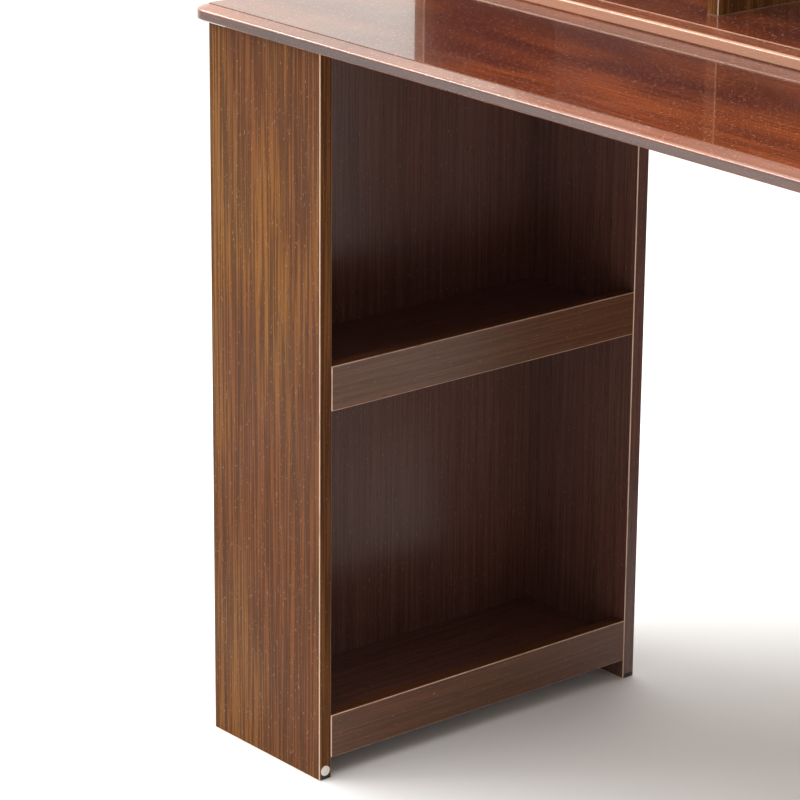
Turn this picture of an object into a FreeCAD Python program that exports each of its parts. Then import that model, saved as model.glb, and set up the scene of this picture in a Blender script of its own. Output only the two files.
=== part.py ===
import FreeCAD, Part
import os

import Sketcher
from FreeCAD import Placement, Rotation, Vector

# Corner desk with a hutch. Millimetres, +Z up. The origin is on the floor under the middle of the
# desk's box: X runs along the straight front edge, -Y is the sitter's side, +Y is the room's corner.
# "left" is -X. Each end stands on an open bookcase pedestal whose shelves face the kneehole.

DIMENSIONS = {
    # desktop
    "desk_width": 1280, "desk_depth": 848, "desk_height": 750, "end_length": 448,
    "board": 15, "front_overhang": 12, "end_overhang": 15, "corner_radius": 20,
    # moulded edge
    "slope_rise": 3.7, "slope_run": 13, "nose_radius": 3, "lower_arris": 1.4, "ridge": 0.8, "arris": 0.8,
    # pedestals
    "pedestal_width": 424, "pedestal_depth": 170, "toe_gap": 21, "rail_height": 45,
    "middle_rail_top": 426, "shelf_drop": 20,
    # members under the desktop
    "stretcher_height": 120, "apron_height": 80, "rear_overhang": 12, "support_half_width": 240,
    # hutch
    "full_height": 1420, "hutch_width": 1254, "hutch_setback": 254, "end_setback": 16,
    "divider_setback": 52, "bay_half_width": 236, "wall_gap": 19, "base_slope_run": 16,
    "base_slope_rise": 2.8, "back_thickness": 6, "back_end_gap": 5, "centre_back_front": 360,
    "centre_shelf_top": 1170, "lower_shelf_top": 985, "upper_shelf_top": 1195, "shelf_gap": 0.5,
    "top_overhang": 20,
    # hardware
    "glide_width": 11, "glide_length": 22, "glide_height": 5, "cap_radius": 5.3, "cap_height": 9.2,
    "cap_thickness": 0.8, "cap_dish_radius": 3.3, "cap_stem_radius": 3, "cap_stem_length": 12,
    "cam_radius": 7.5, "cam_depth": 11, "cam_inset": 24, "bolt_radius": 3, "bolt_bury": 8,
    "dowel_radius": 4, "dowel_in_face": 10, "dowel_in_end": 20, "pin_radius": 2.5, "pin_bury": 8,
    "pin_reach": 8, "bracket_leg": 22, "bracket_width": 18, "bracket_gauge": 2,
    "screw_radius": 1.8, "screw_bury": 10, "nail_radius": 0.8, "nail_bury": 12,
    "fit": 0.05,
}

doc = FreeCAD.newDocument("corner_desk")
sheet = doc.addObject("Spreadsheet::Sheet", "size")
for row, (name, value) in enumerate(DIMENSIONS.items(), start=1):
    sheet.set(f"A{row}", name)
    sheet.set(f"B{row}", str(value))
    sheet.setAlias(f"B{row}", name)
doc.recompute()

# Places worked out from the driving dimensions, as expressions.
FLOOR = "0"
FRONT = "(-size.desk_depth / 2)"
APEX = "(size.desk_depth / 2)"
DESK_END = "(size.desk_width / 2)"
DESK_SHOULDER = f"({FRONT} + size.end_length)"
DESK_TOP = "size.desk_height"
UNDERSIDE = "(size.desk_height - size.board)"

PEDESTAL_FRONT = f"({FRONT} + size.front_overhang)"
PEDESTAL_REAR = f"({PEDESTAL_FRONT} + size.pedestal_width)"
PEDESTAL_OUTER = f"({DESK_END} - size.end_overhang)"
PEDESTAL_OPENING = f"({PEDESTAL_OUTER} - size.pedestal_depth)"
INNER_FRONT = f"({PEDESTAL_FRONT} + size.board)"
INNER_REAR = f"({PEDESTAL_REAR} - size.board)"
BACK_FACE = f"({PEDESTAL_OUTER} - size.board)"
BOTTOM_RAIL_TOP = "(size.toe_gap + size.rail_height)"
SUPPORT_REAR = f"({APEX} - size.rear_overhang)"
SUPPORT_FRONT = f"({SUPPORT_REAR} - size.board)"

HUTCH_END = "(size.hutch_width / 2)"
HUTCH_END_INNER = f"({HUTCH_END} - size.board)"
HUTCH_FRONT = f"({FRONT} + size.hutch_setback)"
HUTCH_END_FRONT = f"({HUTCH_FRONT} + size.end_setback)"
DIVIDER_FRONT = f"({HUTCH_FRONT} + size.divider_setback)"
HUTCH_FLOOR = "(size.desk_height + size.board)"
HUTCH_CEILING = "(size.full_height - size.board)"
# The hutch's walls along the room run at 45 degrees, where x + y is constant.
WALL_OUTER = f"({DESK_END} + {DESK_SHOULDER} - size.wall_gap)"
WALL_INNER = f"({WALL_OUTER} - size.back_thickness * sqrt(2))"
BAY = "size.bay_half_width"
DIVIDER_OUTER = f"({BAY} + size.board)"
HUTCH_SHOULDER = f"({WALL_OUTER} - {HUTCH_END})"
HUTCH_APEX = f"({WALL_OUTER} - {BAY})"
CENTRE_BACK_REAR = "(size.centre_back_front + size.board)"

# Where fasteners sit along a board, as shares of its length.
ONE_MIDDLE = (0.5,)
PAIR = (0.25, 0.75)
WIDE_PAIR = (0.2, 0.8)
BACK_BOARD_DOWELS = (0.12, 0.5, 0.88)
UPRIGHT_DOWELS = (0.15, 0.8)
CENTRE_BOARD_JOINTS = (0.15, 0.75)
HUTCH_SCREWS = (0.35, 0.9)
WALL_NAILS = (0.08, 0.36, 0.64, 0.92)

TOLERANCE = 0.001
SIDES = {"left": -1, "right": 1}
UP, DOWN = Vector(0, 0, 1), Vector(0, 0, -1)
FORWARD, BACKWARD = Vector(0, -1, 0), Vector(0, 1, 0)

parts = {}
bases = {}
fasteners = {}


def number(expression):
    return float(sheet.evalExpression(expression))


def middle(low, high):
    return f"(({low}) + ({high})) / 2"


def signed(side, expression):
    return f"{side} * ({expression})"


def ordered(side, inner, outer):
    """The low and high x of a piece whose inner and outer faces are given for the right-hand side."""
    pair = [signed(side, inner), signed(side, outer)]
    return pair if side > 0 else pair[::-1]


def new_sketch(body, name):
    plane = next(item for item in body.Origin.OriginFeatures if item.Role == "XY_Plane")
    sketch = body.newObject("Sketcher::SketchObject", name)
    sketch.AttachmentSupport = (plane, [""])
    sketch.MapMode = "FlatFace"
    return sketch


def draw_outline(sketch, corners):
    """A closed outline of straight lines whose corners are held by expressions."""
    values = [(number(x), number(y)) for x, y in corners]
    count = len(corners)
    for index in range(count):
        start, end = values[index], values[(index + 1) % count]
        sketch.addGeometry(Part.LineSegment(Vector(*start, 0), Vector(*end, 0)))
    for index in range(count):
        sketch.addConstraint(Sketcher.Constraint("Coincident", index, 2, (index + 1) % count, 1))
    for index, corner in enumerate(corners):
        held_values = zip(("DistanceX", "DistanceY"), (-2, -1), corner, values[index])
        for kind, axis, expression, value in held_values:
            if abs(value) < TOLERANCE:
                sketch.addConstraint(Sketcher.Constraint("PointOnObject", index, 1, axis))
            elif value > 0:
                held = sketch.addConstraint(Sketcher.Constraint(kind, -1, 1, index, 1, value))
                sketch.setExpression(f"Constraints[{held}]", expression)
            else:
                held = sketch.addConstraint(Sketcher.Constraint(kind, index, 1, -1, 1, -value))
                sketch.setExpression(f"Constraints[{held}]", f"-({expression})")


def place(item, base):
    for axis, expression in zip("xyz", base):
        item.setExpression(f"Placement.Base.{axis}", expression)


def pad_outline(body, name, corners, thickness):
    sketch = new_sketch(body, f"{name}_outline")
    draw_outline(sketch, corners)
    pad = body.newObject("PartDesign::Pad", f"{name}_pad")
    pad.Profile = sketch
    pad.setExpression("Length", thickness)
    return pad


def new_body(label, base):
    body = doc.addObject("PartDesign::Body", label)
    body.Label = label
    place(body, base)
    parts[label] = body
    bases[label] = base
    return body


def ease_edges(body, base_feature, corner_count):
    """A fine chamfer on every edge of a prism, as on lacquered board."""
    chamfer = body.newObject("PartDesign::Chamfer", f"{body.Name}_arris")
    chamfer.Base = (base_feature, [f"Edge{index}" for index in range(1, 3 * corner_count + 1)])
    chamfer.setExpression("Size", "size.arris")


def panel(label, x, y, z):
    """A rectangular board between two corners; x, y and z are pairs of expressions."""
    body = new_body(label, (x[0], y[0], z[0]))
    width, depth, height = (f"({high}) - ({low})" for low, high in (x, y, z))
    corners = [("0", "0"), (width, "0"), (width, depth), ("0", depth)]
    ease_edges(body, pad_outline(body, label, corners, height), len(corners))
    return label


def prism(label, corners, z):
    """A board or post whose plan is an outline in the desk's own x and y."""
    body = new_body(label, ("0", "0", z[0]))
    ease_edges(body, pad_outline(body, label, corners, f"({z[1]}) - ({z[0]})"), len(corners))
    return label


def edges_where(shape, test):
    return [f"Edge{index}" for index, edge in enumerate(shape.Edges, start=1) if test(edge)]


def moulded_board(label, half_width, front, shoulder, rear, low_z, slope, ends_moulded):
    """A wedge-shaped top whose exposed edge has a nose, a gentle slope and a fine ridge."""
    slope_rise, slope_run = slope
    rear_half = f"({half_width} + {shoulder} - {rear})"
    body = new_body(label, ("0", "0", low_z))

    def outline(front_inset, end_inset):
        end = f"({half_width} - {end_inset})"
        end_shoulder = f"({shoulder} + {end_inset})"
        right = [(end, f"({front} + {front_inset})"), (end, end_shoulder), (rear_half, rear)]
        return right + [(f"-{x}", y) for x, y in reversed(right)]

    def exposed(edge, height):
        centre = edge.CenterOfMass
        at_front = centre.y < number(front) + number("size.corner_radius")
        at_end = abs(centre.x) > number(half_width) - TOLERANCE and centre.y < number(shoulder)
        return abs(centre.z - height) < TOLERANCE and (at_front or (ends_moulded and at_end))

    slab = pad_outline(body, label, outline("0", "0"), "size.board - size.ridge")
    doc.recompute()
    if ends_moulded:
        rounded = body.newObject("PartDesign::Fillet", f"{label}_corners")
        upright = edges_where(slab.Shape, lambda edge: edge.BoundBox.ZLength > number("size.board / 2")
                              and edge.CenterOfMass.y < number(front) + TOLERANCE)
        rounded.Base = (slab, upright)
        rounded.setExpression("Radius", "size.corner_radius")
        doc.recompute()
        slab = rounded

    sloped = body.newObject("PartDesign::Chamfer", f"{label}_slope")
    slab_top = number("size.board - size.ridge")
    sloped.Base = (slab, edges_where(slab.Shape, lambda edge: exposed(edge, slab_top)))
    sloped.ChamferType = "Two distances"
    sloped.setExpression("Size", slope_rise)
    sloped.setExpression("Size2", slope_run)
    doc.recompute()

    nose = body.newObject("PartDesign::Fillet", f"{label}_nose")
    nose_height = slab_top - number(slope_rise)
    nose.Base = (sloped, edges_where(sloped.Shape, lambda edge: exposed(edge, nose_height)))
    nose.setExpression("Radius", "size.nose_radius")
    doc.recompute()

    lower = body.newObject("PartDesign::Chamfer", f"{label}_lower_arris")
    lower.Base = (nose, edges_where(nose.Shape, lambda edge: exposed(edge, 0)))
    lower.setExpression("Size", "size.lower_arris")

    flat_inset = f"({slope_run} + size.ridge)"
    flat = outline(flat_inset, flat_inset if ends_moulded else "0")
    pad_outline(body, f"{label}_flat", flat, "size.board")
    doc.recompute()
    return label


def bore(label, at, direction, radius, depth):
    """A round hole in a board, starting at a place on the desk and going along a direction."""
    body = parts[label]
    hole = body.newObject("PartDesign::SubtractiveCylinder", f"{label}_bore")
    hole.Placement = Placement(Vector(), Rotation(UP, direction))
    place(hole, [f"({there}) - ({local})" for there, local in zip(at, bases[label])])
    hole.setExpression("Radius", radius)
    hole.setExpression("Height", depth)


def fasten(kind, at, direction):
    """Remember where one fastener of a kind goes; its own +Z points along the direction."""
    position = Vector(*(number(expression) for expression in at))
    fasteners.setdefault(kind, []).append(Placement(position, Rotation(UP, direction)))


def shifted(at, direction, distance):
    """The expressions of a point moved by a distance along a direction."""
    return [f"({value}) + ({distance}) * {step:.9g}" for value, step in zip(at, direction)]


# ---- joints between boards ---------------------------------------------------------------------

def dowel_joint(face_board, end_board, at, direction):
    """A dowel that goes a little into one board's face and further into the other's end."""
    radius = "size.dowel_radius + size.fit"
    bore(face_board, at, -direction, radius, "size.dowel_in_face + size.fit")
    bore(end_board, at, direction, radius, "size.dowel_in_end + size.fit")
    fasten("wood_dowels", shifted(at, direction, "-size.dowel_in_face"), direction)


def cam_joint(side_board, shelf, at, direction, underside):
    """A cam lock let into a shelf's underside, drawing a bolt that is screwed into the side board."""
    centre = shifted(at, direction, "size.cam_inset")
    cam_at = (centre[0], centre[1], underside)
    bore(side_board, at, -direction, "size.bolt_radius + size.fit", "size.bolt_bury + size.fit")
    bore(shelf, at, direction, "size.bolt_radius + size.fit", "size.cam_inset")
    bore(shelf, cam_at, UP, "size.cam_radius + size.fit", "size.cam_depth + size.fit")
    fasten("cam_locks", cam_at, UP)
    fasten("cam_bolts", shifted(at, direction, "-size.bolt_bury"), direction)


def bracket_joint(board, at, direction):
    """A steel angle under the desktop: one leg on the desktop, the other on the board's face."""
    reach = "size.bracket_gauge + size.bracket_leg / 2"
    up_at = shifted(at, direction, reach)
    side_at = shifted(at, DOWN, reach)
    for wood, hole_at, way in (("desktop", up_at, UP), (board, side_at, -direction)):
        bore(wood, hole_at, way, "size.screw_radius + size.fit", "size.screw_bury + size.fit")
        fasten("bracket_screws", shifted(hole_at, way, "-size.bracket_gauge"), way)
    fasteners.setdefault("angle_brackets", []).append((Vector(*map(number, at)), Vector(direction)))


def floor_glide(board, x, y):
    """A plastic glide let into a board's lower edge, its face level with the floor."""
    notch = parts[board].newObject("PartDesign::SubtractiveBox", f"{board}_glide_seat")
    length = "(size.glide_length + 2 * size.fit)"
    width = "(size.glide_width + 2 * size.fit)"
    notch.setExpression("Length", length)
    notch.setExpression("Width", width)
    notch.setExpression("Height", "size.glide_height + size.fit")
    corner = (f"({x}) - {length} / 2", f"({y}) - {width} / 2", FLOOR)
    place(notch, [f"({there}) - ({local})" for there, local in zip(corner, bases[board])])
    fasten("floor_glides", (x, y, FLOOR), UP)


# ---- boards -----------------------------------------------------------------------------------

def build_desktop():
    slope = ("size.slope_rise", "size.slope_run")
    moulded_board("desktop", DESK_END, FRONT, DESK_SHOULDER, APEX, UNDERSIDE, slope, ends_moulded=True)


def build_shelf(name, side, rail_top):
    """One shelf of a pedestal with its front rail, between the two side boards."""
    hand = SIDES[side]
    rail_back = f"({PEDESTAL_OPENING} + size.board)"
    y = (INNER_FRONT, INNER_REAR)
    rail_low = f"({rail_top} - size.rail_height)"
    rail = panel(f"{side}_{name}_rail", ordered(hand, PEDESTAL_OPENING, rail_back), y, (rail_low, rail_top))
    shelf_top = f"({rail_top} - size.shelf_drop)"
    shelf_low = f"({shelf_top} - size.board)"
    shelf = panel(f"{side}_{name}_shelf", ordered(hand, rail_back, BACK_FACE), y, (shelf_low, shelf_top))

    ends = ((f"{side}_front_side", INNER_FRONT, BACKWARD), (f"{side}_rear_side", INNER_REAR, FORWARD))
    rail_x = signed(hand, middle(PEDESTAL_OPENING, rail_back))
    for board, face, into_shelf in ends:
        for share in PAIR:
            dowel_z = f"({rail_low} + {share} * size.rail_height)"
            dowel_joint(board, rail, (rail_x, face, dowel_z), into_shelf)
            cam_x = signed(hand, f"({rail_back} + {share} * ({BACK_FACE} - {rail_back}))")
            cam_at = (cam_x, face, middle(shelf_low, shelf_top))
            cam_joint(board, shelf, cam_at, into_shelf, shelf_low)


def build_pedestal(side):
    """An open bookcase under one end of the desktop, its shelves facing the kneehole."""
    hand = SIDES[side]
    depth = ordered(hand, PEDESTAL_OPENING, PEDESTAL_OUTER)
    standing = (FLOOR, UNDERSIDE)
    front_side = panel(f"{side}_front_side", depth, (PEDESTAL_FRONT, INNER_FRONT), standing)
    rear_side = panel(f"{side}_rear_side", depth, (INNER_REAR, PEDESTAL_REAR), standing)
    back = panel(f"{side}_pedestal_back", ordered(hand, BACK_FACE, PEDESTAL_OUTER),
                 (INNER_FRONT, INNER_REAR), ("size.toe_gap", UNDERSIDE))
    build_shelf("middle", side, "size.middle_rail_top")
    build_shelf("bottom", side, BOTTOM_RAIL_TOP)

    back_x = signed(hand, middle(BACK_FACE, PEDESTAL_OUTER))
    for share in BACK_BOARD_DOWELS:
        z = f"(size.toe_gap + {share} * ({UNDERSIDE} - size.toe_gap))"
        dowel_joint(front_side, back, (back_x, INNER_FRONT, z), BACKWARD)
        dowel_joint(rear_side, back, (back_x, INNER_REAR, z), FORWARD)

    for share in PAIR:
        x = signed(hand, f"({PEDESTAL_OPENING} + {share} * size.pedestal_depth)")
        bracket_joint(front_side, (x, INNER_FRONT, UNDERSIDE), BACKWARD)
        bracket_joint(rear_side, (x, INNER_REAR, UNDERSIDE), FORWARD)
    towards_opening = Vector(-hand, 0, 0)
    back_middle = (signed(hand, BACK_FACE), middle(INNER_FRONT, INNER_REAR), UNDERSIDE)
    bracket_joint(back, back_middle, towards_opening)

    glide_xs = [f"({PEDESTAL_OPENING} + size.glide_length / 2)", f"({PEDESTAL_OUTER} - size.glide_length)"]
    for board, low_y in ((front_side, PEDESTAL_FRONT), (rear_side, INNER_REAR)):
        for x in glide_xs:
            floor_glide(board, signed(hand, x), f"({low_y} + size.board / 2)")
    add_edge_cap(front_side, hand)


def add_edge_cap(board, hand):
    """A round cover cap plugged into the front side board's edge, just above the floor."""
    into_board = Vector(hand, 0, 0)
    at = (signed(hand, PEDESTAL_OPENING), f"({PEDESTAL_FRONT} + size.board / 2)", "size.cap_height")
    bore(board, at, into_board, "size.cap_stem_radius + size.fit", "size.cap_stem_length + size.fit")
    fasten("edge_caps", at, into_board)


def build_rear_frame():
    """The stretcher across the kneehole, the support at the room's corner and the rails to it."""
    stretcher_y = (INNER_REAR, PEDESTAL_REAR)
    low = f"({UNDERSIDE} - size.stretcher_height)"
    stretcher = panel("knee_stretcher", (f"-{PEDESTAL_OPENING}", PEDESTAL_OPENING), stretcher_y,
                      (low, UNDERSIDE))
    half = "size.support_half_width"
    support = panel("rear_support", (f"-{half}", half), (SUPPORT_FRONT, SUPPORT_REAR), (FLOOR, UNDERSIDE))
    line_outer = f"({PEDESTAL_OUTER} + {PEDESTAL_REAR})"
    line_inner = f"({line_outer} - size.board * sqrt(2))"
    for side, hand in SIDES.items():
        plan = [(f"({line_outer} - {PEDESTAL_REAR})", PEDESTAL_REAR),
                (f"({line_outer} - {SUPPORT_FRONT})", SUPPORT_FRONT),
                (f"({line_inner} - {SUPPORT_FRONT})", SUPPORT_FRONT),
                (f"({line_inner} - {PEDESTAL_REAR})", PEDESTAL_REAR)]
        plan = [(signed(hand, x), y) for x, y in plan]
        apron = prism(f"{side}_apron", plan, (f"({UNDERSIDE} - size.apron_height)", UNDERSIDE))
        inward = Vector(-hand, -1, 0).normalize()
        for share in WIDE_PAIR:
            y = f"({PEDESTAL_REAR} + {share} * ({SUPPORT_FRONT} - {PEDESTAL_REAR}))"
            bracket_joint(apron, (signed(hand, f"{line_inner} - {y}"), y, UNDERSIDE), inward)
            dowel_z = f"({low} + {share} * size.stretcher_height)"
            dowel_at = (signed(hand, PEDESTAL_OPENING), middle(*stretcher_y), dowel_z)
            dowel_joint(f"{side}_rear_side", stretcher, dowel_at, Vector(-hand, 0, 0))
        bracket_joint(support, (signed(hand, f"{half} / 2"), SUPPORT_FRONT, UNDERSIDE), FORWARD)
        glide_x = signed(hand, f"{half} - size.glide_length")
        floor_glide(support, glide_x, middle(SUPPORT_FRONT, SUPPORT_REAR))
        bracket_x = signed(hand, f"{PEDESTAL_OPENING} / 2")
        bracket_joint(stretcher, (bracket_x, INNER_REAR, UNDERSIDE), FORWARD)


def hutch_upright(label, hand, inner, front):
    """A full-height board of the hutch, its rear edge mitred to the 45-degree wall."""
    outer = f"({inner} + size.board)"
    plan = [(inner, front), (outer, front), (outer, f"({WALL_INNER} - {outer})"),
            (inner, f"({WALL_INNER} - {inner})")]
    prism(label, [(signed(hand, x), y) for x, y in plan], (HUTCH_FLOOR, HUTCH_CEILING))
    dowel_x = signed(hand, middle(inner, outer))
    rear = f"({WALL_INNER} - {outer})"
    for share in UPRIGHT_DOWELS:
        y = f"({front} + {share} * ({rear} - {front}))"
        dowel_joint("hutch_base", label, (dowel_x, y, HUTCH_FLOOR), UP)
        dowel_joint("hutch_top", label, (dowel_x, y, HUTCH_CEILING), DOWN)
    return label


def hutch_rail(label, low_x, high_x, top, ends, dowel_shares):
    """A rail flush with the dividers' front edges, held by dowels at these shares of its height."""
    low = f"({top} - size.rail_height)"
    rail_y = (DIVIDER_FRONT, f"({DIVIDER_FRONT} + size.board)")
    rail = panel(label, (low_x, high_x), rail_y, (low, top))
    for board, x, inward in zip(ends, (low_x, high_x), (1, -1)):
        for share in dowel_shares:
            z = f"({low} + {share} * size.rail_height)"
            dowel_joint(board, rail, (x, middle(*rail_y), z), Vector(inward, 0, 0))


def build_hutch_wall(side, end, divider):
    """The thin 45-degree back of a side bay, nailed to the mitred edges of its two uprights."""
    hand = SIDES[side]
    gap = "size.back_end_gap"
    stops = [f"({HUTCH_END} - {gap})", f"({BAY} + {gap})"]
    spread = "(size.back_thickness / sqrt(2))"
    plan = [(x, f"({WALL_INNER} - {x})") for x in stops]
    plan += [(f"({x} + {spread})", f"({WALL_INNER} - {x} + {spread})") for x in reversed(stops)]
    plan = [(signed(hand, x), y) for x, y in plan]
    wall = prism(f"{side}_hutch_back", plan, (HUTCH_FLOOR, HUTCH_CEILING))
    into_board = Vector(-hand, -1, 0).normalize()
    for board, inner in ((end, HUTCH_END_INNER), (divider, BAY)):
        face_x = f"({inner} + size.board / 2 + {spread})"
        face_y = f"({WALL_INNER} - {inner} - size.board / 2 + {spread})"
        for share in WALL_NAILS:
            height = f"({HUTCH_FLOOR} + {share} * ({HUTCH_CEILING} - {HUTCH_FLOOR}))"
            at = (signed(hand, face_x), face_y, height)
            bore(wall, at, into_board, "size.nail_radius + size.fit", "size.back_thickness")
            at_board = shifted(at, into_board, "size.back_thickness")
            bore(board, at_board, into_board, "size.nail_radius + size.fit", "size.nail_bury + size.fit")
            fasten("back_panel_nails", at, into_board)


def build_side_bay_shelf(side, name, top, end, divider):
    """A loose shelf of a side bay, resting on four pins."""
    hand = SIDES[side]
    inner = f"({DIVIDER_OUTER} + size.shelf_gap)"
    outer = f"({HUTCH_END_INNER} - size.shelf_gap)"
    rear_line = f"({WALL_INNER} - 2 * size.shelf_gap)"
    plan = [(inner, DIVIDER_FRONT), (outer, DIVIDER_FRONT), (outer, f"({rear_line} - {outer})"),
            (inner, f"({rear_line} - {inner})")]
    low = f"({top} - size.board)"
    prism(f"{side}_{name}_hutch_shelf", [(signed(hand, x), y) for x, y in plan], (low, top))
    pin_z = f"({low} - size.pin_radius)"
    supports = ((end, HUTCH_END_INNER, outer, 1), (divider, DIVIDER_OUTER, inner, -1))
    for board, face, shelf_end, outward in supports:
        into_board = Vector(hand * outward, 0, 0)
        for share in WIDE_PAIR:
            y = f"({DIVIDER_FRONT} + {share} * ({rear_line} - {shelf_end} - {DIVIDER_FRONT}))"
            at = (signed(hand, face), y, pin_z)
            bore(board, at, into_board, "size.pin_radius + size.fit", "size.pin_bury + size.fit")
            fasten("shelf_pins", shifted(at, into_board, "-size.pin_reach"), into_board)


def build_centre_bay():
    """The wide middle bay: a fixed shelf over the screen's place and a back above the shelf."""
    x = (f"-{BAY}", BAY)
    shelf_low = "(size.centre_shelf_top - size.board)"
    shelf_y = (f"({DIVIDER_FRONT} + size.board)", CENTRE_BACK_REAR)
    shelf = panel("centre_hutch_shelf", x, shelf_y, (shelf_low, "size.centre_shelf_top"))
    back_y = ("size.centre_back_front", CENTRE_BACK_REAR)
    back = panel("centre_hutch_back", x, back_y, ("size.centre_shelf_top", HUTCH_CEILING))
    for side, hand in SIDES.items():
        divider = f"{side}_hutch_divider"
        inward = Vector(-hand, 0, 0)
        for share in CENTRE_BOARD_JOINTS:
            y = f"({shelf_y[0]} + {share} * ({shelf_y[1]} - {shelf_y[0]}))"
            cam_at = (signed(hand, BAY), y, f"({shelf_low} + size.board / 2)")
            cam_joint(divider, shelf, cam_at, inward, shelf_low)
            z = f"(size.centre_shelf_top + {share} * ({HUTCH_CEILING} - size.centre_shelf_top))"
            dowel_joint(divider, back, (signed(hand, BAY), middle(*back_y), z), inward)
    dividers = ("left_hutch_divider", "right_hutch_divider")
    hutch_rail("centre_shelf_rail", *x, "(size.centre_shelf_top + size.shelf_drop)", dividers, PAIR)
    hutch_rail("centre_top_rail", *x, HUTCH_CEILING, dividers, PAIR)


def build_hutch():
    base_slope = ("size.base_slope_rise", "size.base_slope_run")
    top_slope = ("size.slope_rise", "size.slope_run")
    moulded_board("hutch_base", HUTCH_END, HUTCH_FRONT, HUTCH_SHOULDER, HUTCH_APEX, DESK_TOP,
                  base_slope, ends_moulded=False)
    top_front = f"({HUTCH_END_FRONT} - size.top_overhang)"
    top_shoulder = f"({WALL_OUTER} - {DESK_END})"
    moulded_board("hutch_top", DESK_END, top_front, top_shoulder, HUTCH_APEX, HUTCH_CEILING,
                  top_slope, ends_moulded=True)
    for side, hand in SIDES.items():
        end = hutch_upright(f"{side}_hutch_end", hand, HUTCH_END_INNER, HUTCH_END_FRONT)
        divider = hutch_upright(f"{side}_hutch_divider", hand, BAY, DIVIDER_FRONT)
        build_hutch_wall(side, end, divider)
        build_side_bay_shelf(side, "lower", "size.lower_shelf_top", end, divider)
        build_side_bay_shelf(side, "upper", "size.upper_shelf_top", end, divider)
        rail_x = ordered(hand, DIVIDER_OUTER, HUTCH_END_INNER)
        rail_ends = (divider, end) if hand > 0 else (end, divider)
        # One dowel in the middle, clear of the centre rail's two in the divider's other face.
        hutch_rail(f"{side}_hutch_rail", *rail_x, HUTCH_CEILING, rail_ends, ONE_MIDDLE)
        for share in HUTCH_SCREWS:
            screw_at = (signed(hand, f"{share} * {PEDESTAL_OPENING}"), f"({DIVIDER_FRONT} + size.board)",
                        UNDERSIDE)
            hutch_screw(screw_at)
    build_centre_bay()


def hutch_screw(at):
    """A screw up through the desktop that holds the hutch's base board down."""
    radius = "size.screw_radius + size.fit"
    bore("desktop", at, UP, radius, "size.board")
    bore("hutch_base", (at[0], at[1], DESK_TOP), UP, radius, "size.screw_bury + size.fit")
    fasten("hutch_screws", at, UP)


# ---- fasteners and fittings: each is made once, then copied to every place where it is used -----

def turned(profile):
    """A solid of revolution about Z from a half profile of (radius, height) corners."""
    wire = Part.makePolygon([Vector(radius, 0, height) for radius, height in profile + profile[:1]])
    return Part.Face(wire).revolve(Vector(), UP, 360)


def eased_pin(radius, length, bevel):
    return turned([(0, 0), (radius - bevel, 0), (radius, bevel), (radius, length - bevel),
                   (radius - bevel, length), (0, length)])


def pan_screw(radius, shank_start, shank_end):
    """A pan-head screw whose head sits below Z = shank_start, with a cross recess."""
    head_radius = 2 * radius
    head_height = radius
    head_top = shank_start - head_height
    crown_radius = 1.4 * radius
    screw = turned([(0, head_top), (crown_radius, head_top), (head_radius, shank_start - head_height / 2),
                    (head_radius, shank_start), (radius, shank_start), (radius, shank_end - radius),
                    (0, shank_end)])
    slot_width = 0.45 * radius
    slot_length = 2.6 * radius
    return screw.cut(cross_recess(slot_width, slot_length, head_height / 2, head_top))


def cross_recess(width, length, depth, low_z):
    bars = [Part.makeBox(span_x, span_y, depth, Vector(-span_x / 2, -span_y / 2, low_z))
            for span_x, span_y in ((width, length), (length, width))]
    return bars[0].fuse(bars[1])


def make_floor_glide():
    length, width, height = (number(f"size.glide_{word}") for word in ("length", "width", "height"))
    block = Part.makeBox(length, width, height, Vector(-length / 2, -width / 2, 0))
    lower_edges = [edge for edge in block.Edges if edge.CenterOfMass.z < TOLERANCE]
    return block.makeChamfer(number("size.arris"), lower_edges)


def make_edge_cap():
    """A plain round cap with a raised ring around a shallow dish, on a stem."""
    radius, rim, dish = (number(f"size.cap_{word}") for word in ("radius", "thickness", "dish_radius"))
    stem, length = number("size.cap_stem_radius"), number("size.cap_stem_length")
    return turned([(0, -rim / 2), (dish, -rim / 2), (dish + rim / 2, -rim), (radius - rim / 2, -rim),
                   (radius, -rim / 2), (radius, 0), (stem, 0), (stem, length), (0, length)])


def make_cam_lock():
    radius, depth = number("size.cam_radius"), number("size.cam_depth")
    disc = turned([(0, 0), (radius, 0), (radius, depth), (0, depth)])
    return disc.cut(cross_recess(radius / 4, radius, depth / 4, 0))


def make_cam_bolt():
    radius = number("size.bolt_radius")
    length = number("size.bolt_bury + size.cam_inset - size.cam_radius - size.fit")
    return eased_pin(radius, length, radius / 4)


def make_dowel():
    radius = number("size.dowel_radius")
    return eased_pin(radius, number("size.dowel_in_face + size.dowel_in_end"), radius / 4)


def make_shelf_pin():
    radius = number("size.pin_radius")
    return eased_pin(radius, number("size.pin_reach + size.pin_bury"), radius / 4)


def make_bracket_screw():
    gauge = number("size.bracket_gauge")
    return pan_screw(number("size.screw_radius"), 0, gauge + number("size.screw_bury"))


def make_hutch_screw():
    return pan_screw(number("size.screw_radius"), 0, number("size.board + size.screw_bury"))


def make_nail():
    radius = number("size.nail_radius")
    head, length = 2 * radius, number("size.back_thickness + size.nail_bury")
    return turned([(0, -radius), (head, -radius), (head, 0), (radius, 0), (radius, length - head),
                   (0, length)])


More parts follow.
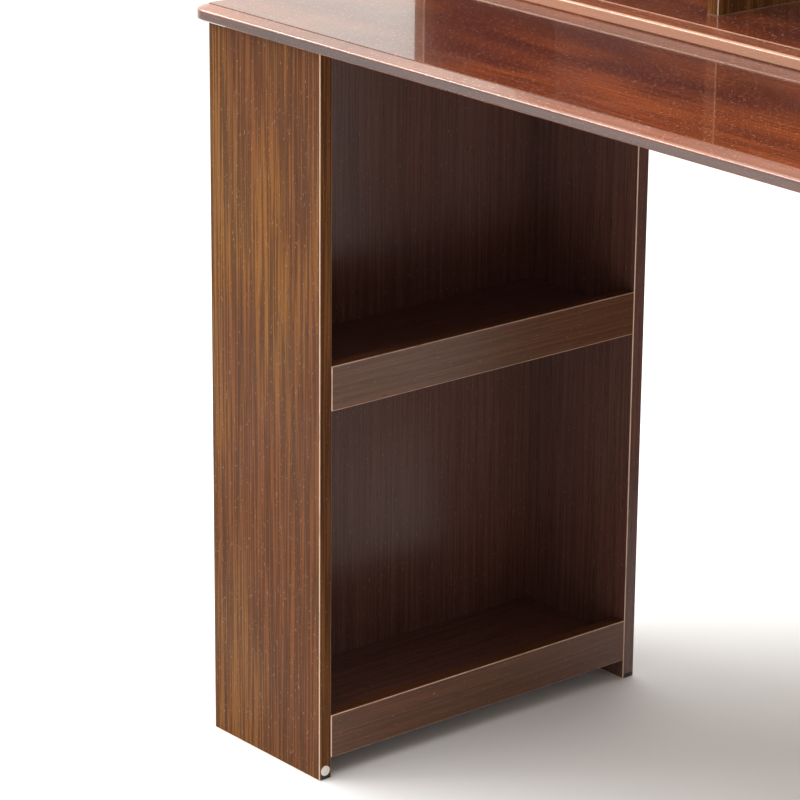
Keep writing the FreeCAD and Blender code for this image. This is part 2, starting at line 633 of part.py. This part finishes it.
def make_bracket(corner, direction):
    """A bent steel angle in the corner under the desktop, its free legs along direction and down."""
    leg, gauge, width = (number(f"size.bracket_{word}") for word in ("leg", "gauge", "width"))
    bend_radius = 0.6 * gauge
    bent = Part.makePolygon([Vector(0, 0, 0), Vector(leg, 0, 0), Vector(leg, 0, -gauge),
                             Vector(gauge, 0, -gauge), Vector(gauge, 0, -leg), Vector(0, 0, -leg),
                             Vector(0, 0, 0)])
    angle = Part.Face(bent).extrude(Vector(0, width, 0))
    angle.translate(Vector(0, -width / 2, 0))
    corner_line = Vector(gauge, 0, -gauge)
    inner_bend = [edge for edge in angle.Edges if edge.CenterOfMass.isEqual(corner_line, TOLERANCE)]
    angle = angle.makeFillet(bend_radius, inner_bend)
    clearance = number("size.screw_radius + 2 * size.fit")
    reach = gauge + leg / 2
    for start, way in ((Vector(reach, 0, -gauge), UP), (Vector(0, 0, -reach), Vector(1, 0, 0))):
        angle = angle.cut(Part.makeCylinder(clearance, gauge, start, way))
    angle.Placement = Placement(corner, Rotation(Vector(1, 0, 0), direction))
    return angle


def add_fasteners():
    """One document object per kind of fastener, holding its separate solids."""
    makers = {"floor_glides": make_floor_glide, "edge_caps": make_edge_cap, "cam_locks": make_cam_lock,
              "cam_bolts": make_cam_bolt, "wood_dowels": make_dowel, "shelf_pins": make_shelf_pin,
              "bracket_screws": make_bracket_screw, "hutch_screws": make_hutch_screw,
              "back_panel_nails": make_nail}
    groups = {}
    for kind, maker in makers.items():
        original = maker()
        copies = []
        for placement in fasteners[kind]:
            copy = original.copy()
            copy.Placement = placement
            copies.append(copy)
        groups[kind] = copies
    groups["angle_brackets"] = [make_bracket(*spot) for spot in fasteners["angle_brackets"]]
    for kind, solids in groups.items():
        group = doc.addObject("Part::Feature", kind)
        group.Label = kind
        group.Shape = Part.makeCompound(solids)
        group.Placement = Placement()
        parts[kind] = group


def check_document():
    for item in doc.Objects:
        if {"Invalid", "Error"} & set(item.State):
            raise RuntimeError(f"{item.Label} did not recompute: {item.State}")
    for label, item in parts.items():
        if item.Shape.isNull() or not item.Shape.isValid():
            raise RuntimeError(f"{label} has no valid shape")
        expected = len(fasteners.get(label, [None]))
        if len(item.Shape.Solids) != expected:
            raise RuntimeError(f"{label} is {len(item.Shape.Solids)} solids, not {expected}")


def export_parts():
    os.makedirs("parts", exist_ok=True)
    for label, item in parts.items():
        item.Shape.exportStep(f"parts/{label}.step")
        print(f"{label}: {len(item.Shape.Solids)} solid(s)")


build_desktop()
build_pedestal("left")
build_pedestal("right")
build_rear_frame()
build_hutch()
doc.recompute()
add_fasteners()
doc.recompute()
check_document()
export_parts()
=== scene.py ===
import math
from typing import NamedTuple

import bpy
from mathutils import Matrix, Vector


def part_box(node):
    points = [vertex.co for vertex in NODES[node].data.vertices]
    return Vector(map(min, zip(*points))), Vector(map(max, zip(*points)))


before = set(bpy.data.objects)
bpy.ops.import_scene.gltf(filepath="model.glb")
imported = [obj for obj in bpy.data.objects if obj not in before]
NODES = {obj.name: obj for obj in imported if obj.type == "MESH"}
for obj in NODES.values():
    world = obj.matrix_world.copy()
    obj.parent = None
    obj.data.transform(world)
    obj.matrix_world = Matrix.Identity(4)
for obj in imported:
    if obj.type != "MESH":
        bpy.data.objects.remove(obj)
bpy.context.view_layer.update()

# ---- sizes and places, worked out from the frame -------------------------------------------------

DESK_LOW, DESK_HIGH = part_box("desktop")
DESK_CENTRE = (DESK_LOW + DESK_HIGH) / 2
PEDESTAL_LOW, PEDESTAL_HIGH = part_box("left_front_side")

# The flat of a moulded top stands this far above the foot of its ridge.
RIDGE = 0.0008

# The camera's direction, its aim and its lens. It aims this far in from the front of the left pedestal's
# front board and this high above the floor; the lens and sensor are in millimetres.
AZIMUTH = math.radians(50.04)
ELEVATION = math.radians(18.65)
ROLL = math.radians(0.48)
AIM_INWARD = 0.0995
AIM_HEIGHT = 0.3752
CAMERA_DISTANCE = 3.444
LENS = 160.17
SENSOR = 36.0

# Turning by this much about the upright axis brings each side's 45-degree boards square to the desk.
WALL_TURNS = {"left": -math.pi / 4, "right": math.pi / 4}

# The floor is wide enough to fill every view.
FLOOR_HALF = 30.0

# The way to the back of the room, and the sky's strength away from it and towards it. The fade is between
# two cosines of the angle to that way.
SKY_BACK = (-0.60, 0.80, 0.0)
SKY_FADE = (-0.4, 0.4)
SKY_DIM = 0.60
SKY_BRIGHT = 1.10

# The lacquer bends light like glass, and its surface waves by this many metres.
LACQUER_IOR = 1.5
LACQUER_WAVE = 0.00005

# The noise levels between which smudges, marks and mottles fade in.
SMUDGE_FADE = (0.3, 0.7)


# ---- node helpers --------------------------------------------------------------------------------

class Pattern(NamedTuple):
    """Noise drawn out along the fibres: cells per metre both ways, and the noise's own settings."""
    along: float
    across: float
    detail: float
    roughness: float = 0.5
    distortion: float = 0.0


class Tree:
    """A small wrapper that adds and links shader nodes."""

    def __init__(self, owner):
        owner.use_nodes = True
        self.tree = owner.node_tree
        self.tree.nodes.clear()

    def connect(self, node, name, value):
        """Links a socket, or sets a plain value."""
        if isinstance(value, bpy.types.NodeSocket):
            self.tree.links.new(value, node.inputs[name])
        else:
            node.inputs[name].default_value = value

    def add(self, kind, inputs=None, **settings):
        node = self.tree.nodes.new(kind)
        for name, value in settings.items():
            setattr(node, name, value)
        for name, value in (inputs or {}).items():
            self.connect(node, name, value)
        return node

    def object_position(self):
        return self.add("ShaderNodeTexCoord").outputs["Object"]

    def math(self, operation, first, second=0.0):
        return self.add("ShaderNodeMath", {0: first, 1: second}, operation=operation).outputs[0]

    def mix(self, share, first, second):
        """Mixes two colours; the colour sockets of a Mix node are numbers 6 and 7, its result number 2."""
        return self.add("ShaderNodeMix", {0: share, 6: first, 7: second}, data_type="RGBA").outputs[2]

    def noise(self, vector, scale, detail=3.0, roughness=0.5, distortion=0.0):
        inputs = {"Vector": vector, "Scale": scale, "Detail": detail, "Roughness": roughness,
                  "Distortion": distortion}
        return self.add("ShaderNodeTexNoise", inputs).outputs["Fac"]

    def stretch(self, vector, scale):
        return self.add("ShaderNodeMapping", {"Vector": vector, "Scale": scale}).outputs[0]

    def grain_noise(self, fibres, pattern):
        """A pattern's noise; the fibres run along the first axis."""
        stretched = self.stretch(fibres, (pattern.along, pattern.across, pattern.across))
        return self.noise(stretched, 1.0, pattern.detail, pattern.roughness, pattern.distortion)

    def ramp(self, value, low, high, start=0.0, end=1.0):
        """Maps low..high smoothly to start..end."""
        inputs = {"Value": value, "From Min": low, "From Max": high, "To Min": start, "To Max": end}
        return self.add("ShaderNodeMapRange", inputs, interpolation_type="SMOOTHSTEP").outputs[0]

    def turn_about_z(self, vector, angle):
        inputs = {"Vector": vector, "Angle": angle}
        return self.add("ShaderNodeVectorRotate", inputs, rotation_type="Z_AXIS").outputs[0]

    def bump(self, height, distance):
        """Relief in a surface; the distance is its depth in metres."""
        return self.add("ShaderNodeBump", {"Height": height, "Distance": distance}).outputs[0]

    def finish(self, shader_inputs):
        shader = self.add("ShaderNodeBsdfPrincipled", shader_inputs)
        self.add("ShaderNodeOutputMaterial", {"Surface": shader.outputs[0]})


def rgb(red, green, blue):
    return (red, green, blue, 1.0)


def new_material(name):
    material = bpy.data.materials.new(name)
    return material, Tree(material)


# ---- wood ----------------------------------------------------------------------------------------

# A look holds the colours and numbers of one lacquered wood:
#   dark, light, warm          the streaks' dark colour, and the two colours the rest drifts between
#   pore, speck                the open pores, and pale specks that paint the lacquer's sparkle: a painted glint
#   edge, edge_share           the pale colour of bevels and mouldings, part wear and part painted highlight, and how far it shows
#   band_shade_and_light, band_share  the upright band's painted shade on the desk and painted light on the
#   hutch base, and how far it shows
#   streaks, specks            how strongly the streaks and specks show, from 0 to 1
#   speck_level                the noise level at which specks start; a lower one gives more of them
#   roughness, specular        the wood's own surface
#   coat, coat_roughness       the lacquer over it
#   relief                     the height of the fibres, in metres
SATIN = {
    "dark": rgb(0.046, 0.0150, 0.0050), "light": rgb(0.185, 0.062, 0.017), "warm": rgb(0.265, 0.108, 0.021),
    "pore": rgb(0.018, 0.007, 0.005), "speck": rgb(0.50, 0.33, 0.20), "edge": rgb(0.80, 0.56, 0.42),
    "edge_share": 0.95, "streaks": 0.60, "specks": 0.35, "speck_level": 0.66, "roughness": 0.5,
    "specular": 0.10, "coat": 0.02, "coat_roughness": 0.25, "relief": 0.00006,
}

# The rails are polished. The boards inside the bookcases are a darker, redder copy of the satin wood:
# painted shade.
# The hutch's 45-degree backs are a little paler than those: painted light, as if their bays were lit.
RAIL = dict(SATIN, warm=rgb(0.190, 0.070, 0.028), streaks=0.3, coat=0.9, coat_roughness=0.2)
# Painted shade: a darker, redder copy of the satin wood for the boards inside.
INNER_PAINTED_SHADE = dict(SATIN, dark=rgb(0.054, 0.0230, 0.0185), light=rgb(0.185, 0.076, 0.058),
             warm=rgb(0.210, 0.084, 0.060), streaks=0.3, coat=1.0, coat_roughness=0.22)
# Painted light: the hutch backs' paler tones stand in for light in their bays.
HUTCH_BACK_PAINTED_LIGHT = dict(INNER_PAINTED_SHADE, light=rgb(0.230, 0.110, 0.075), warm=rgb(0.270, 0.130, 0.085))

# The tops are glossy. The hutch's top lies close under the ceiling light, so its warm figure and specks are
# toned down:
# painted shade against that light. The hutch's base has a paler moulding and a pale upright band: painted
# light and highlight.
GLOSS = {
    "dark": rgb(0.065, 0.0110, 0.0090), "light": rgb(0.140, 0.026, 0.018), "warm": rgb(0.500, 0.110, 0.028),
    "pore": rgb(0.018, 0.005, 0.003), "speck": rgb(0.70, 0.42, 0.32), "edge": rgb(0.38, 0.24, 0.19),
    "edge_share": 0.45, "band_shade_and_light": rgb(0.016, 0.006, 0.005), "band_share": 0.8, "streaks": 0.35,
    "specks": 0.6, "speck_level": 0.615, "roughness": 0.30, "specular": 0.5, "coat": 1.0,
    "coat_roughness": 0.05, "relief": 0.00003,
}
# Painted shade: the hutch top's warm figure and specks are toned down against the ceiling light close
# above.
HUTCH_TOP_PAINTED_SHADE = dict(GLOSS, warm=rgb(0.260, 0.056, 0.022), specks=0.15)
# Painted light and highlight: the hutch base's pale moulding and pale upright band.
PAINTED_LIGHT_EDGE = dict(GLOSS, edge=rgb(0.66, 0.36, 0.23), edge_share=0.85, band_shade_and_light=rgb(0.56, 0.28, 0.17))

# The dowels are plain beech.
BEECH = dict(SATIN, light=rgb(0.55, 0.34, 0.17), dark=rgb(0.42, 0.24, 0.11), warm=rgb(0.62, 0.40, 0.22),
             pore=rgb(0.30, 0.16, 0.07), edge=rgb(0.60, 0.38, 0.20), coat=0.0, roughness=0.6)

# Each pattern of the grain, and the noise levels between which it fades in.
FIGURE = Pattern(along=3.0, across=10.0, detail=2.0, distortion=0.3)
FIGURE_FADE = (0.35, 0.65)
STREAKS = Pattern(along=6.0, across=400.0, detail=1.0)
STREAK_FADE = (0.42, 0.62)
BANDS = Pattern(along=3.0, across=130.0, detail=3.0, roughness=0.6)
BAND_FADE = (0.34, 0.66)
PORES = Pattern(along=40.0, across=900.0, detail=2.0, roughness=0.7)
PORE_FADE = (0.56, 0.72)
SPECKS = Pattern(along=240.0, across=620.0, detail=2.0)
SPECK_FADE_WIDTH = 0.08
# Uneven patches in the pale edge colour, which is part wear and part painted highlight.
WEAR_AND_SHEEN = Pattern(along=30.0, across=30.0, detail=4.0, roughness=0.6)
WEAR_AND_SHEEN_FADE = (0.25, 0.55)
LEAST_WEAR_AND_SHEEN = 0.6

# Light wood comes mostly from the streaks, and for the rest from the broader bands.
STREAK_WEIGHT = 0.88
BAND_WEIGHT = 0.12
PORE_STRENGTH = 0.6

# Each board is cut from its own place in the wood, this far from the one with the seed before.
SEED_STEP = Vector((1.7, 0.9, 1.3))
FIRST_SEED = 1
BACK_SEED = 50
APRON_SEED = 52
TOP_SEED = 60
DOWEL_SEED = 3

# The fibres run along X in the wood; these turns bring a board's grain axis onto it.
GRAIN_TURNS = {
    "x": (0.0, 0.0, 0.0),
    "y": (0.0, 0.0, -math.pi / 2),
    "z": (0.0, math.pi / 2, 0.0),
}

# A normal's largest part is 0.71 on a 45-degree bevel and 1 on a face.
BEVEL_FADE = (0.86, 0.72)

# How far a surface's normal rises: near 0 the surface is upright, near 1 it is level.
UPRIGHT_FADE = (0.15, 0.35)
LEVEL_FADE = (0.99, 0.97)


def fibre_position(shader, grain, seed, turn):
    """The place in the wood, in metres, with the fibres along the first axis."""
    turned = shader.turn_about_z(shader.object_position(), turn)
    inputs = {"Vector": turned, "Location": seed * SEED_STEP, "Rotation": GRAIN_TURNS[grain]}
    return shader.add("ShaderNodeMapping", inputs).outputs[0]


def grain_colour(shader, look, fibres):
    """The wood's colour with its streaks, bands, pores and specks, and the height of its fibres."""
    streaks = shader.grain_noise(fibres, STREAKS)
    half_contrast = 0.5 * look["streaks"]
    streak_share = shader.ramp(streaks, *STREAK_FADE, 0.5 - half_contrast, 0.5 + half_contrast)
    band_share = shader.ramp(shader.grain_noise(fibres, BANDS), *BAND_FADE)
    light_share = shader.math("ADD", shader.math("MULTIPLY", streak_share, STREAK_WEIGHT),
                              shader.math("MULTIPLY", band_share, BAND_WEIGHT))
    warm_share = shader.ramp(shader.grain_noise(fibres, FIGURE), *FIGURE_FADE)
    body = shader.mix(warm_share, look["light"], look["warm"])
    colour = shader.mix(light_share, look["dark"], body)

    pores = shader.ramp(shader.grain_noise(fibres, PORES), *PORE_FADE)
    pore_share = shader.math("MULTIPLY", pores, PORE_STRENGTH)
    colour = shader.mix(pore_share, colour, look["pore"])

    # Pale specks that paint the lacquer's sparkle: a painted glint.
    level = look["speck_level"]
    specks = shader.ramp(shader.grain_noise(fibres, SPECKS), level, level + SPECK_FADE_WIDTH)
    colour = shader.mix(shader.math("MULTIPLY", specks, look["specks"]), colour, look["speck"])
    return colour, shader.math("SUBTRACT", streaks, pore_share)


def arris_mask(shader, turn):
    """1 on the fine bevels, whose normals lie between a board's own axes, and 0 on its faces."""
    normal = shader.add("ShaderNodeNewGeometry").outputs["True Normal"]
    turned = shader.turn_about_z(normal, turn)
    size = shader.add("ShaderNodeVectorMath", {0: turned}, operation="ABSOLUTE").outputs[0]
    parts = shader.add("ShaderNodeSeparateXYZ", {0: size})
    largest = shader.math("MAXIMUM", parts.outputs[0], parts.outputs[1])
    largest = shader.math("MAXIMUM", largest, parts.outputs[2])
    return shader.ramp(largest, *BEVEL_FADE)


def moulding_masks(shader, ridge_foot):
    """Two masks of a moulded edge: its slope, rounds and ridge, which take wear and painted highlight, and
    its upright band, which takes painted shade and light.
    """
    normal = shader.add("ShaderNodeNewGeometry").outputs["True Normal"]
    rise = shader.math("ABSOLUTE", shader.add("ShaderNodeSeparateXYZ", {0: normal}).outputs[2])
    height = shader.add("ShaderNodeSeparateXYZ", {0: shader.object_position()}).outputs[2]
    # The ridge's small upright face counts as slope, so it takes the pale colour: painted light over its
    # shade.
    on_ridge = shader.math("GREATER_THAN", height, ridge_foot)
    not_upright = shader.math("MAXIMUM", shader.ramp(rise, *UPRIGHT_FADE), on_ridge)
    not_level = shader.ramp(rise, *LEVEL_FADE)
    slope = shader.math("MULTIPLY", not_level, not_upright)
    band_shade_and_light = shader.math("SUBTRACT", 1.0, not_upright)
    return slope, band_shade_and_light


def paint_edge_wear_and_sheen(shader, look, fibres, colour, worn_and_sheened_edges):
    """Lays the pale edge colour, part wear and part painted highlight, over the masked edges, unevenly."""
    share = look["edge_share"]
    wear_and_sheen = shader.ramp(shader.grain_noise(fibres, WEAR_AND_SHEEN), *WEAR_AND_SHEEN_FADE, LEAST_WEAR_AND_SHEEN * share, share)
    return shader.mix(shader.math("MULTIPLY", worn_and_sheened_edges, wear_and_sheen), colour, look["edge"])


def lacquer(shader, look, colour, relief):
    """Finishes a wood: smudges in its sheen, fibres in its surface and a slow wave in its coat."""
    position = shader.object_position()
    smudge = shader.noise(position, scale=7.0, roughness=0.6)
    wave = shader.noise(position, scale=26.0, detail=2.0)
    roughness = look["roughness"]
    shader.finish({
        "Base Color": colour,
        "Roughness": shader.ramp(smudge, *SMUDGE_FADE, roughness * 0.85, roughness * 1.2),
        "Normal": shader.bump(relief, look["relief"]),
        "IOR": LACQUER_IOR,
        "Specular IOR Level": look["specular"],
        "Coat Weight": look["coat"],
        "Coat Roughness": look["coat_roughness"],
        "Coat IOR": LACQUER_IOR,
        "Coat Normal": shader.bump(wave, LACQUER_WAVE),
    })


def board_material(name, look, grain, seed, turn=0.0):
    """Straight-grained wood with pale bevels, part wear and part painted highlight; grain is the axis along
    which its fibres run.
    """
    material, shader = new_material(name)
    fibres = fibre_position(shader, grain, seed, turn)
    colour, relief = grain_colour(shader, look, fibres)
    # The bevels get the pale edge colour: part wear, part painted highlight.
    colour = paint_edge_wear_and_sheen(shader, look, fibres, colour, arris_mask(shader, turn))
    lacquer(shader, look, colour, relief)
    return material


def moulded_material(name, look, seed):
    """The same wood for a top with a moulded edge; its fibres run across the desk."""
    material, shader = new_material(name)
    fibres = fibre_position(shader, "x", seed, 0.0)
    colour, relief = grain_colour(shader, look, fibres)
    slope, band_shade_and_light = moulding_masks(shader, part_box(name)[1].z - RIDGE)
    # The upright band gets painted shade on the desk (dark) and painted light on the hutch's base (pale).
    colour = shader.mix(shader.math("MULTIPLY", band_shade_and_light, look["band_share"]), colour, look["band_shade_and_light"])
    # The slope, rounds and ridge get the pale edge colour: part wear, part painted highlight and
    # reflection.
    colour = paint_edge_wear_and_sheen(shader, look, fibres, colour, slope)
    lacquer(shader, look, colour, relief)
    return material


# ---- plastic and metal ---------------------------------------------------------------------------

def plastic_material(name, colour, roughness):
    """Moulded plastic with a faint grain and handling marks."""
    material, shader = new_material(name)
    position = shader.object_position()
    grain = shader.noise(position, scale=2500.0, detail=2.0)
    marks = shader.noise(position, scale=180.0, roughness=0.6)
    darker = rgb(*(channel * 0.78 for channel in colour[:3]))
    shader.finish({
        "Base Color": shader.mix(shader.ramp(marks, 0.45, 0.75), colour, darker),
        "Roughness": shader.ramp(marks, *SMUDGE_FADE, roughness * 0.8, roughness * 1.2),
        "Normal": shader.bump(grain, 0.00003),
    })
    return material


def zinc_material(name):
    """Bright zinc plating with a cloudy bloom and fine drawing lines."""
    material, shader = new_material(name)
    position = shader.object_position()
    bright = rgb(0.66, 0.66, 0.63)
    dull = rgb(0.42, 0.42, 0.40)
    bloom = shader.noise(position, scale=220.0, detail=4.0, roughness=0.6)
    lines = shader.noise(shader.stretch(position, (300.0, 300.0, 4000.0)), scale=1.0, detail=2.0)
    shader.finish({
        "Base Color": shader.mix(shader.ramp(bloom, 0.35, 0.7), bright, dull),
        "Metallic": 1.0,
        "Roughness": shader.ramp(bloom, *SMUDGE_FADE, 0.28, 0.48),
        "Normal": shader.bump(lines, 0.00002),
    })
    return material


def floor_material(name):
    """Pale paint with a faint mottle."""
    material, shader = new_material(name)
    mottle = shader.ramp(shader.noise(shader.object_position(), scale=3.0), *SMUDGE_FADE)
    shader.finish({
        "Base Color": shader.mix(mottle, rgb(0.91, 0.925, 0.95), rgb(0.93, 0.945, 0.97)),
        "Roughness": 0.9,
    })
    return material


# ---- dressing the desk ---------------------------------------------------------------------------

def dress(node, material):
    """Gives a CAD node one material in all its slots."""
    mesh = NODES[node].data
    mesh.materials.clear()
    mesh.materials.append(material)


def board_look(node):
    """Boards seen mostly from inside the bookcases get the darker, smoother copy of the wood, whose
    darkness is painted shade, and rails are polished.
    """
    if node.endswith("rail"):
        return RAIL
    inside = ("pedestal_back", "rear_side", "middle_shelf", "bottom_shelf", "centre_hutch_back")
    return INNER_PAINTED_SHADE if node.endswith(inside) else SATIN


def straight_boards():
    """Each board square to the desk, with the axis of its grain: up if it stands, else along it."""
    paired = {
        "pedestal_back": "z", "front_side": "z", "rear_side": "z", "middle_rail": "y", "bottom_rail": "y",
        "middle_shelf": "y", "bottom_shelf": "y", "hutch_end": "z", "hutch_divider": "z",
        "lower_hutch_shelf": "x", "upper_hutch_shelf": "x", "hutch_rail": "x",
    }
    single = {
        "knee_stretcher": "x", "rear_support": "z", "centre_hutch_shelf": "x", "centre_hutch_back": "z",
        "centre_shelf_rail": "x", "centre_top_rail": "x",
    }
    boards = {f"{side}_{name}": grain for side in ("left", "right") for name, grain in paired.items()}
    return dict(boards, **single)


def dress_boards():
    """Every board gets its own material and its own seed, so that no two have the same figure."""
    for seed, (node, grain) in enumerate(sorted(straight_boards().items()), start=FIRST_SEED):
        dress(node, board_material(node, board_look(node), grain, seed))
    for number, (side, turn) in enumerate(WALL_TURNS.items()):
        back = f"{side}_hutch_back"
        apron = f"{side}_apron"
        dress(back, board_material(back, HUTCH_BACK_PAINTED_LIGHT, "z", BACK_SEED + number, turn))
        dress(apron, board_material(apron, SATIN, "x", APRON_SEED + number, turn))
    tops = {"desktop": GLOSS, "hutch_base": PAINTED_LIGHT_EDGE, "hutch_top": HUTCH_TOP_PAINTED_SHADE}
    for seed, (node, look) in enumerate(tops.items(), start=TOP_SEED):
        dress(node, moulded_material(node, look, seed))


def dress_fittings():
    zinc = zinc_material("zinc_plate")
    for node in ("cam_locks", "cam_bolts", "shelf_pins", "angle_brackets", "bracket_screws",
                 "hutch_screws", "back_panel_nails"):
        dress(node, zinc)
    dress("wood_dowels", board_material("beech", BEECH, "x", DOWEL_SEED))
    dress("floor_glides", plastic_material("black_plastic", rgb(0.012, 0.012, 0.012), 0.45))
    dress("edge_caps", plastic_material("white_plastic", rgb(0.84, 0.82, 0.79), 0.3))


# ---- studio --------------------------------------------------------------------------------------

def towards(direction):
    """The turn that points a camera or a lamp along a direction."""
    return direction.to_track_quat("-Z", "Y")


def add_camera():
    """Looks at the left pedestal from the front right, a little above, through a long lens."""
    aim = Vector((PEDESTAL_HIGH.x, PEDESTAL_LOW.y + AIM_INWARD, AIM_HEIGHT))
    level = math.cos(ELEVATION)
    back = Vector((math.sin(AZIMUTH) * level, -math.cos(AZIMUTH) * level, math.sin(ELEVATION)))
    place = Matrix.Translation(aim + back * CAMERA_DISTANCE)
    turn = towards(-back).to_matrix().to_4x4()
    data = bpy.data.cameras.new("camera")
    data.lens = LENS
    data.sensor_width = SENSOR
    camera = bpy.data.objects.new("camera", data)
    camera.matrix_world = place @ turn @ Matrix.Rotation(ROLL, 4, "Z")
    bpy.context.scene.collection.objects.link(camera)
    bpy.context.scene.camera = camera


def add_area_light(name, place, target, size, power, colour=(1.0, 1.0, 1.0)):
    data = bpy.data.lights.new(name, "AREA")
    data.shape = "RECTANGLE"
    data.size, data.size_y = size
    data.energy = power
    data.color = colour
    light = bpy.data.objects.new(name, data)
    light.location = place
    light.rotation_euler = towards(Vector(target) - Vector(place)).to_euler()
    light.visible_camera = False
    bpy.context.scene.collection.objects.link(light)


def add_lights():
    """A soft ceiling, a warm key from the front left, and a strip that skims the desk's front edge."""
    overhead = DESK_CENTRE + Vector((-0.2, -0.3, 0.0))
    add_area_light("ceiling", (overhead.x, overhead.y, 3.3), (overhead.x, overhead.y, 0.0),
                   size=(3.2, 3.2), power=110.0)
    add_area_light("key", (DESK_CENTRE.x - 1.6, DESK_CENTRE.y - 3.2, 2.2),
                   (DESK_CENTRE.x - 0.4, DESK_CENTRE.y, 0.5),
                   size=(1.8, 1.8), power=32.0, colour=(1.0, 0.90, 0.78))
    add_area_light("edge", (DESK_LOW.x - 1.9, DESK_LOW.y - 1.4, 2.3),
                   (DESK_CENTRE.x - 0.3, DESK_LOW.y, 0.75),
                   size=(2.4, 0.5), power=45.0)


def add_sky():
    """A pale warm room, bright behind the desk and dimmer on the sitter's side."""
    world = bpy.data.worlds.new("studio")
    shader = Tree(world)
    direction = shader.add("ShaderNodeTexCoord").outputs["Generated"]
    backward = shader.add("ShaderNodeVectorMath", {0: direction, 1: SKY_BACK}, operation="DOT_PRODUCT")
    strength = shader.ramp(backward.outputs["Value"], *SKY_FADE, SKY_DIM, SKY_BRIGHT)
    sky = shader.add("ShaderNodeBackground", {"Color": rgb(1.0, 0.96, 0.88), "Strength": strength})
    shader.add("ShaderNodeOutputWorld", {"Surface": sky.outputs[0]})
    bpy.context.scene.world = world


def add_floor():
    mesh = bpy.data.meshes.new("floor")
    corners = [(-FLOOR_HALF, -FLOOR_HALF, 0.0), (FLOOR_HALF, -FLOOR_HALF, 0.0),
               (FLOOR_HALF, FLOOR_HALF, 0.0), (-FLOOR_HALF, FLOOR_HALF, 0.0)]
    mesh.from_pydata(corners, [], [(0, 1, 2, 3)])
    mesh.materials.append(floor_material("floor_paint"))
    floor = bpy.data.objects.new("floor", mesh)
    bpy.context.scene.collection.objects.link(floor)


add_camera()
dress_boards()
dress_fittings()
add_floor()
add_sky()
add_lights()
bpy.context.scene.view_settings.view_transform = "Standard"
